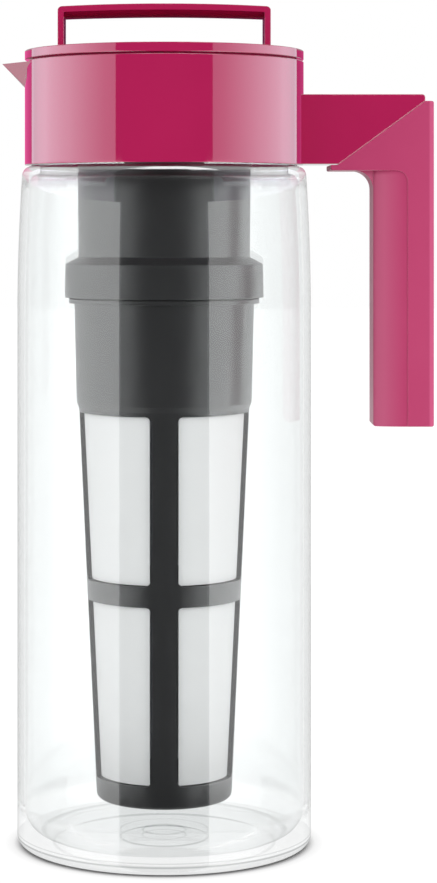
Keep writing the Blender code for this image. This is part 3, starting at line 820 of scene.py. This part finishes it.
def carryLoop():
    foot = capTop - loop["tenon"]
    inside = loopSpan - loop["leg"]
    under = loopTop - loop["bar"]
    corner = loop["corner"]
    arch = rounded([
        (-loopSpan, foot, 0), (-loopSpan, loopTop, corner), (loopSpan, loopTop, corner),
        (loopSpan, foot, 0), (inside, foot, 0), (inside, under, fineRound),
        (-inside, under, fineRound), (-inside, foot, 0),
    ], closed=True, steps=8)
    made = bevelled(slab("glossy_loop", arch, loopHalfDepth), loop["bevel"])
    half = loopHalfDepth - loop["bevel"]
    section = [(half, under + loop["bar"] / 2), (-half, under + loop["bar"] / 2)]
    for step in range(33):
        share = step / 16 - 1
        section.append((half * share, under - loop["belly"] * (1 - share ** 2)))
    belly = slab("belly", section, loopSpan - loop["leg"] / 2, "X")
    joined(made, belly, "UNION")
    work = bmesh.new()
    work.from_mesh(made.data)
    for step in range(1, 40):
        cut = loopSpan * (step / 20 - 1)
        geometry = work.verts[:] + work.edges[:] + work.faces[:]
        plane = {"plane_co": (cut, 0, 0), "plane_no": (1, 0, 0), "dist": 1e-6}
        bmesh.ops.bisect_plane(work, geom=geometry, **plane)
    height = loopTop - capTop
    for vertex in work.verts:
        rise = max(0.0, (vertex.co.z - capTop) / height)
        vertex.co.z -= loop["bow"] * rise * (vertex.co.x / loopSpan) ** 2
    work.to_mesh(made.data)
    work.free()
    smoothed(made.data)
    return piece(made, "lid", "carry_loop", raspberry)


plug = {
    "flange": 0.0015, "wall": 0.0034, "grooveDepth": 0.0016, "grooveHeight": 0.0045,
    "grooveDrop": 0.005, "spigotWall": 0.0025, "spigotHeight": 0.0287, "edge": 0.0004,
    "portRoof": 0.0012,
}
grooveTop = neckTop - plug["grooveDrop"]
grooveBottom = grooveTop - plug["grooveHeight"]
grooveRadius = plugRadius - plug["grooveDepth"]


def lidPlug():
    rim = skirtBore - fitGap
    top = plugHigh.z
    flange = top - plug["flange"]
    bottom = plugLow.z
    bore = plugRadius - plug["wall"]
    spigot = tubeBore - runGap
    spigotBore = spigot - plug["spigotWall"]
    spigotBottom = top - plug["spigotHeight"]
    edge = plug["edge"]
    profile = rounded([
        (0, top, 0), (rim, top, edge), (rim, flange, edge), (plugRadius, flange, 0),
        (plugRadius, grooveTop, edge), (grooveRadius, grooveTop, 0),
        (grooveRadius, grooveBottom, 0), (plugRadius, grooveBottom, edge),
        (plugRadius, bottom, edge), (bore, bottom, edge), (bore, flange, 0), (spigot, flange, 0),
        (spigot, spigotBottom, edge), (spigotBore, spigotBottom, edge), (spigotBore, flange, 0),
        (0, flange, 0),
    ])
    made = turned("glossy_plug", profile)
    cutPort(made, bore - plug["wall"], capLow.z, flange - plug["portRoof"])
    # the plug takes the same darker matt raspberry, whose darker colour is painted shade
    return piece(made, "lid", "lid_plug", mattWithPaintedShade)


gasket = {"lipDrop": 0.0011, "endStep": 0.0006, "waistStep": 0.0005, "lipRound": 0.0004}


def lidGasket():
    # two lips, a little under each end of the ring
    outer = (gasketHigh.x - gasketLow.x) / 2
    inner = grooveRadius + fitGap
    top, bottom = gasketHigh.z, gasketLow.z
    middle = (top + bottom) / 2
    end, lip, drop = outer - gasket["endStep"], gasket["lipRound"], gasket["lipDrop"]
    profile = rounded([
        (end, top, fineRound), (outer, middle + drop, lip),
        (outer - gasket["waistStep"], middle, fineRound), (outer, middle - drop, lip),
        (end, bottom, fineRound), (inner, bottom, fineRound), (inner, top, fineRound),
    ], closed=True)
    made = turned("lip_gasket", profile, closed=True)
    return piece(made, "lid_seal", "lid_gasket", sealPale)


# infuser: the tube's sizes come before the lid's making, because the plug's spigot fits it

tube = {
    "radius": 0.0318, "draft": 0.0005, "wall": 0.0021, "edge": 0.0004,
    "bandStep": 0.0048, "bandFlare": 0.0002, "bandWall": 0.0021, "bandHeight": 0.0121,
    "bandSlope": 0.0026, "bandRoof": 0.0018, "slopeRound": 0.0008, "bandRound": 0.0005,
}
tubeFoot = tube["radius"] - tube["draft"]
tubeBore = tubeFoot - tube["wall"]
bandRadius = tubeFoot + tube["bandStep"]
bandBore = bandRadius - tube["bandWall"]
bandTop = tubeLow.z + tube["bandHeight"]

capDisc()
capSkirt()
carryLoop()
lidPlug()
lidGasket()
print("lid made")


def extensionTube():
    edge = tube["edge"]
    roof = bandTop - tube["bandRoof"]
    profile = rounded([
        (tube["radius"], tubeHigh.z, edge),
        (tubeFoot, bandTop + tube["bandSlope"], tube["slopeRound"]),
        (bandRadius, bandTop, tube["bandRound"]), (bandRadius + tube["bandFlare"], tubeLow.z, edge),
        (bandBore, tubeLow.z, edge), (bandBore, roof, 0),
        (tubeBore, roof, edge), (tubeBore, tubeHigh.z, edge),
    ], closed=True, steps=4)
    made = turned("graphite_tube", profile, closed=True)
    return piece(made, "infuser_tube", "infuser_extension", dark)


basket = {
    "wall": 0.002, "colletWall": 0.0027, "flangeInset": 0.0013, "flangeHeight": 0.0018,
    "shellInset": 0.0008, "shellDraft": 0.00085, "shellHeight": 0.0361, "shellRound": 0.0004,
    "frameInset": 0.00085, "frameStep": 0.002, "frameDraft": 0.0065, "frameRound": 0.0008,
    "rib": 0.0095, "cupHeight": 0.0083, "cupRound": 0.0021, "floorRound": 0.0006, "bar": 0.0074,
    "windowDrop": 0.0013, "upperHeight": 0.0606, "upperRound": 0.0023, "lowerRound": 0.0018,
    "meshThickness": 0.0004, "edge": 0.0004,
}
flangeTop = tubeLow.z - fitGap
shellTop = flangeTop - basket["flangeHeight"]
shellBottom = shellTop - basket["shellHeight"]
frameTop = shellBottom - basket["frameStep"]
frameFoot = basketLow.z + basket["cupRound"]
colletRadius = bandBore - runGap
shellRadius = colletRadius - basket["shellInset"]
shellFoot = shellRadius - basket["shellDraft"]
frameRadius = shellFoot - basket["frameInset"]
footRadius = frameRadius - basket["frameDraft"]


def frameRadiusAt(height):
    share = (height - frameFoot) / (frameTop - frameFoot)
    return footRadius + basket["frameDraft"] * share


def windowCut(number, bottom, top, rounding):
    # one quarter between two ribs, with round corners
    side = basket["rib"] / 2
    window = block("window", (side, side, bottom), (bandRadius, bandRadius, top))
    cut = bevelled(window, rounding, 6)
    cut.data.transform(Matrix.Rotation(quarterTurn * number, 4, "Z"))
    return cut


def infuserBasket():
    wall = basket["wall"]
    floor = basketLow.z + wall
    flange = bandRadius - basket["flangeInset"]
    edge = basket["edge"]
    turn, inner = basket["cupRound"], basket["floorRound"]
    profile = rounded([
        (0, floor, 0), (footRadius - turn - wall / 2, floor, inner),
        (footRadius - wall, floor + turn / 2, inner), (frameRadius - wall, frameTop, 0),
        (shellFoot - wall, shellBottom, 0), (shellRadius - wall, shellTop, 0),
        (colletRadius - basket["colletWall"], basketHigh.z, fineRound),
        (colletRadius, basketHigh.z, edge), (colletRadius, flangeTop, 0),
        (flange, flangeTop, edge), (flange, shellTop, edge), (shellRadius, shellTop, 0),
        (shellFoot, shellBottom, basket["shellRound"]),
        (frameRadius, frameTop, basket["frameRound"]), (footRadius, basketLow.z, turn),
        (0, basketLow.z, 0),
    ], steps=5)
    made = turned("graphite_basket", profile)
    upperTop = frameTop - basket["windowDrop"]
    upperBottom = upperTop - basket["upperHeight"]
    lowerTop, lowerBottom = upperBottom - basket["bar"], basketLow.z + basket["cupHeight"]
    for row in ((upperBottom, upperTop, basket["upperRound"]),
                (lowerBottom, lowerTop, basket["lowerRound"])):
        for number in range(4):
            joined(made, windowCut(number, *row), "DIFFERENCE")
    return piece(made, "basket", "infuser_basket", dark)


def filterPanel(row, number):
    # a curved sheet across the window, with a woven look in its own round-and-up coordinates
    low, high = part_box(f"mesh_{row}_{number + 1}")
    name = f"filter_{row}_{number + 1}"
    edge = basket["rib"] / 2 + fitGap
    sheet = bmesh.new()
    uv = sheet.loops.layers.uv.new("weave")
    columns, rows = 40, 24
    grid = {}
    for skin, depth in (("out", basket["meshThickness"]), ("in", 0)):
        for j in range(rows + 1):
            height = low.z + (high.z - low.z) * j / rows
            radius = frameRadiusAt(height) - basket["wall"] + depth
            start = math.asin(edge / radius)
            for i in range(columns + 1):
                angle = quarterTurn * number + start + (quarterTurn - 2 * start) * i / columns
                spot = (radius * math.cos(angle), radius * math.sin(angle), height)
                grid[skin, i, j] = (sheet.verts.new(spot), angle / (2 * math.pi), height)

    def face(*keys):
        made = sheet.faces.new([grid[key][0] for key in keys])
        for loopCorner, key in zip(made.loops, keys):
            loopCorner[uv].uv = grid[key][1:]

    for i in range(columns):
        for j in range(rows):
            face(("out", i, j), ("out", i + 1, j), ("out", i + 1, j + 1), ("out", i, j + 1))
            face(("in", i, j), ("in", i, j + 1), ("in", i + 1, j + 1), ("in", i + 1, j))
    for i in range(columns):
        face(("in", i, 0), ("in", i + 1, 0), ("out", i + 1, 0), ("out", i, 0))
        face(("out", i, rows), ("out", i + 1, rows), ("in", i + 1, rows), ("in", i, rows))
    end = columns
    for j in range(rows):
        face(("in", 0, j + 1), ("in", 0, j), ("out", 0, j), ("out", 0, j + 1))
        face(("in", end, j), ("in", end, j + 1), ("out", end, j + 1), ("out", end, j))
    mesh = bpy.data.meshes.new(name)
    sheet.to_mesh(mesh)
    sheet.free()
    mesh.shade_smooth()
    mesh.set_sharp_from_angle(angle=math.radians(40))
    return piece(blank(name, mesh), "basket", f"mesh_{row}_{number + 1}", meshWhite)


extensionTube()
infuserBasket()
for row in ("upper", "lower"):
    for number in range(4):
        filterPanel(row, number)
print("infuser made")


# studio: pale floor and world, soft lamps, and panels that only show in reflections

def mirrored(shades):
    return tuple((1 - place, shade) for place, shade in reversed(shades))


def tinted(shades, tint):
    return tuple((place, tuple(shade * part for part in tint)) for place, shade in shades)


def even(shade):
    return ((0.0, shade), (1.0, shade))


# brightness along each softbox, from its front edge to its back edge
collarPlaces = (0.0, 0.09, 0.2, 0.31, 0.43, 0.57, 0.73, 0.93, 1.0)
collarLeft = (1.3, 1.45, 1.9, 2.35, 2.72, 2.75, 2.5, 1.35, 1.35)
collarRight = (1.08, 1.28, 1.72, 2.15, 2.5, 2.6, 2.4, 1.35, 1.35)
collarLeft = tinted(zip(collarPlaces, collarLeft), (1.04, 1.0, 1.12))
collarRight = tinted(zip(collarPlaces, collarRight), (1.0, 1.0, 1.12))
jugSoftbox = ((0.0, 3.6), (0.25, 2.9), (0.5, 1.4), (0.65, 1.0), (1.0, 1.0))
infuserLeft = ((0.0, 2.0), (0.25, 4.0), (0.45, 4.6), (0.8, 3.2), (1.0, 2.0))
infuserRight = ((0.0, 2.1), (0.25, 4.4), (0.45, 5.4), (0.8, 4.6), (1.0, 2.4))

studio = {
    "groundLight": 0.72, "skyLight": 0.62, "horizon": (0.45, 0.55),
    "skyGloss": 1.6, "skyRise": 4, "skyStart": 1.5,
    "floorSize": 12.0, "floorDrop": 0.0002, "floorGlow": 1.1, "floorRoughness": 0.9,
    "floorPale": (0.93, 0.93, 0.93, 1), "floorCloud": (0.92, 0.92, 0.92, 1), "floorScale": 3.0,
    # how bright the floor looks, from under the jug's axis out to shadowReach
    "shadow": ((0.0, 1.0), (0.47, 1.0), (0.495, 0.0), (0.52, 0.0), (0.55, 0.7), (0.6, 0.94),
               (0.8, 1.0)),
    "shadowReach": 0.1,
    "panelRadius": {"outside": 0.21, "anywhere": 0.21, "inside": 0.225}, "panelSteps": 48,
    # each panel's name, first and last angle, height range, and brightness as (share of the
    # way, shade): those outside show in the outer surfaces, and those inside in what stands
    # behind the clear wall
    "outside": (
        ("collarSoftboxLeft", -127, -35, 0.2505, 0.34, mirrored(collarLeft)),
        ("collarSoftboxRight", 35, 127, 0.2505, 0.34, collarRight),
        ("collarShadeLeft", -165, -127.5, 0.2505, 0.302, even((0.9, 0.12, 0.38))),
        ("collarShadeRight", 127.5, 165, 0.2505, 0.302, even((0.6, 0.06, 0.22))),
        ("wineShadeBack", 165.5, 194.5, 0.15, 0.34, even((0.12, 0.01, 0.05))),
        ("upperShadeLeft", -172, -127.5, 0.302, 0.95, even(0.5)),
        ("upperShadeRight", 127.5, 172, 0.302, 0.95, even(0.5)),
        ("ceilingLeft", -127, -34.9, 0.34, 1.6, even(0.8)),
        ("ceilingRight", 45, 127, 0.34, 1.6, even(0.8)),
        ("ceilingShadeFront", -34.9, 20, 0.34, 0.43, even(0.1)),
        ("ceilingFront", -34.9, 20, 0.43, 1.6, ((0.0, 1.6), (0.3, 3.4), (1.0, 3.4))),
        ("ceilingArm", 20, 45, 0.34, 1.6, even(3.4)),
        ("jugSoftboxLeft", -127, -30.3, -0.6, 0.2505, mirrored(jugSoftbox)),
        ("jugSoftboxRight", 30.3, 127, -0.6, 0.2505, jugSoftbox),
        ("jugShadeLeft", -165, -127.5, -0.6, 0.2505, even(0.65)),
        ("jugShadeRight", 127.5, 165, -0.6, 0.2505, even(0.7)),
    ),
    "anywhere": (
        ("collarShadeFront", -34.9, 34.9, 0.2505, 0.34, even(0.1)),
        ("jugShadeFront", -30.2, 30.2, -0.6, 0.2505, even(0.1)),
    ),
    "inside": (
        ("infuserSoftboxLeft", -127, -33.5, -0.6, 0.95, mirrored(infuserLeft)),
        ("infuserSoftboxRight", 33.5, 127, -0.6, 0.95, infuserRight),
        ("infuserShadeLeft", -172, -127, -0.6, 0.95, ((0.0, 0.5), (1.0, 2.0))),
        ("infuserShadeRight", 127, 172, -0.6, 0.95, ((0.0, 2.4), (1.0, 0.5))),
    ),
    # each lamp's name, place and power
    "lampSize": 1.2,
    "lamps": (
        ("leftLamp", (-1.5, -1.1, 0.5), 9.0),
        ("rightLamp", (1.5, -1.1, 0.5), 9.0),
        ("frontLamp", (0.2, -1.8, 0.8), 6.0),
    ),
}
white = (1, 1, 1, 1)


def seenRays(made):
    # rays that look at the background: the camera's, and those off gloss and through plastic
    rays = made.ray("Is Camera Ray") + made.ray("Is Glossy Ray")
    return made.limited(rays + made.ray("Is Transmission Ray"))


def paleWorld():
    # white to look at, while the object gets a softer light, a little more of it from below
    world = bpy.data.worlds.new("paleStudio")
    made = Finish("paleStudio", world)

    def backdrop(colour, strength=1.0):
        sockets = {"Color": colour, "Strength": strength}
        return made.node("ShaderNodeBackground", None, sockets)

    up = made.out(made.axes("Generated"), "Z")
    ground, sky = studio["groundLight"], studio["skyLight"]
    low, high = studio["horizon"]
    light = made.ramp(up * 0.5 + 0.5, [(0.0, ground), (low, ground), (high, sky), (1.0, sky)])
    plain = made.blend(seenRays(made), backdrop(light), backdrop(white))

    # gloss that looks up finds a brighter ceiling
    reflected = made.limited(made.ray("Glossy Depth"))
    overhead = made.limited(up * studio["skyRise"] - studio["skyStart"])
    ceiling = backdrop(white, studio["skyGloss"])
    made.finish(made.blend(reflected * overhead, plain, ceiling), "ShaderNodeOutputWorld")
    bpy.context.scene.world = world


def paleFloor():
    half = studio["floorSize"] / 2
    mesh = bpy.data.meshes.new("floor")
    corners = [(-half, -half), (half, -half), (half, half), (-half, half)]
    mesh.from_pydata([(x, y, -studio["floorDrop"]) for x, y in corners], [], [(0, 1, 2, 3)])
    floor = blank("floor", mesh)
    floor.visible_glossy = False
    floor.visible_diffuse = False
    made = Finish("paleFloor")
    cloud = made.noise(studio["floorScale"])
    plain = made.plastic({
        "Base Color": made.mix(cloud, studio["floorPale"], studio["floorCloud"]),
        "Roughness": studio["floorRoughness"],
        "Specular IOR Level": 0.0,
    })
    bright = {"Color": white, "Strength": studio["floorGlow"]}
    glow = made.node("ShaderNodeEmission", None, bright)
    length = made.node("ShaderNodeVectorMath", {"operation": "LENGTH"}, {0: made.place()})
    reach = made.out(length, "Value") * (1 / studio["shadowReach"])
    # through the clear base the floor shows no ring of shadow
    seenThrough = made.ray("Transparent Depth") + made.ray("Transmission Depth")
    away = made.limited(made.ramp(reach, studio["shadow"]) + seenThrough)
    ground = made.blend(seenRays(made) * away, plain, glow)
    # what is seen in gloss goes on to the panels below
    reflected = made.limited(made.ray("Glossy Depth"))
    through = made.node("ShaderNodeBsdfTransparent")
    mesh.materials.append(made.finish(made.blend(reflected, ground, through)))


def panelFinish(name, seenFrom, shades):
    # bright or dark only in a reflection: a ray with no reflection in its path goes through
    made = Finish(name)
    colours = [(place, shade if isinstance(shade, tuple) else (shade,) * 3)
               for place, shade in shades]
    strength = max(max(colour) for place, colour in colours)
    stops = [(place, tuple(value / strength for value in colour)) for place, colour in colours]
    colour = made.ramp(made.out(made.axes("UV"), "X"), stops)
    glow = made.node("ShaderNodeEmission", None, {"Color": colour, "Strength": strength})
    share = made.limited(made.ray("Glossy Depth"))
    passes = made.ray("Transmission Depth")
    if seenFrom == "outside":
        share = share * (1 - made.limited(passes))
    if seenFrom == "inside":
        share = share * made.limited(passes - 3)
    through = made.node("ShaderNodeBsdfTransparent")
    surface = made.finish(made.blend(share, through, glow))
    surface.cycles.emission_sampling = "NONE"
    return surface


def studioPanel(seenFrom, radius, name, start, end, low, high, shades):
    # an upright arc round the jug, its angles counted from the camera's side
    steps = studio["panelSteps"]
    mesh = bpy.data.meshes.new(name)
    verts, faces, shares = [], [], []
    for step in range(steps + 1):
        angle = math.radians(start + (end - start) * step / steps)
        across, along = radius * math.sin(angle), -radius * math.cos(angle)
        verts += [(across, along, low), (across, along, high)]
        shares.append(step / steps)
    for step in range(steps):
        faces.append((2 * step, 2 * step + 2, 2 * step + 3, 2 * step + 1))
    mesh.from_pydata(verts, [], faces)
    layer = mesh.uv_layers.new(name="across")
    for corner in mesh.loops:
        layer.data[corner.index].uv = (shares[corner.vertex_index // 2], 0)
    panel = blank(name, mesh)
    for ray in ("camera", "diffuse", "shadow", "volume_scatter"):
        setattr(panel, "visible_" + ray, False)
    mesh.materials.append(panelFinish(name, seenFrom, shades))


def softLamp(name, place, power):
    data = bpy.data.lights.new(name, "AREA")
    data.size = studio["lampSize"]
    data.energy = power
    lamp = bpy.data.objects.new(name, data)
    bpy.context.scene.collection.objects.link(lamp)
    lamp.location = place
    aim = Vector((axisX, 0, jugHigh.z / 2)) - Vector(place)
    lamp.rotation_euler = aim.to_track_quat("-Z", "Y").to_euler()
    lamp.visible_glossy = False
    lamp.visible_transmission = False


paleWorld()
paleFloor()
for seenFrom, radius in studio["panelRadius"].items():
    for panel in studio[seenFrom]:
        studioPanel(seenFrom, radius, *panel)
for lamp in studio["lamps"]:
    softLamp(*lamp)

bpy.context.scene.view_settings.view_transform = "Standard"
print("studio made")


# camera: level, a little under the collar, shifted as the photograph is framed

lens = {
    "imageWidth": 437, "imageHeight": 883, "focalPixels": 2550.0,
    "axisPixel": 164.2, "horizonPixel": 226.0,
    "distance": 0.9325, "height": 0.2245, "sensor": 36.0, "clip": (0.01, 50),
}


def photoCamera():
    data = bpy.data.cameras.new("camera")
    data.sensor_width = lens["sensor"]
    data.lens = lens["focalPixels"] / lens["imageHeight"] * lens["sensor"]
    data.shift_x = (lens["imageWidth"] / 2 - lens["axisPixel"]) / lens["imageHeight"]
    data.shift_y = -(lens["imageHeight"] / 2 - lens["horizonPixel"]) / lens["imageHeight"]
    camera = bpy.data.objects.new("camera", data)
    bpy.context.scene.collection.objects.link(camera)
    camera.location = (axisX, -lens["distance"], lens["height"])
    camera.rotation_euler = (quarterTurn, 0, 0)
    data.clip_start, data.clip_end = lens["clip"]
    bpy.context.scene.camera = camera


photoCamera()
print("camera made")
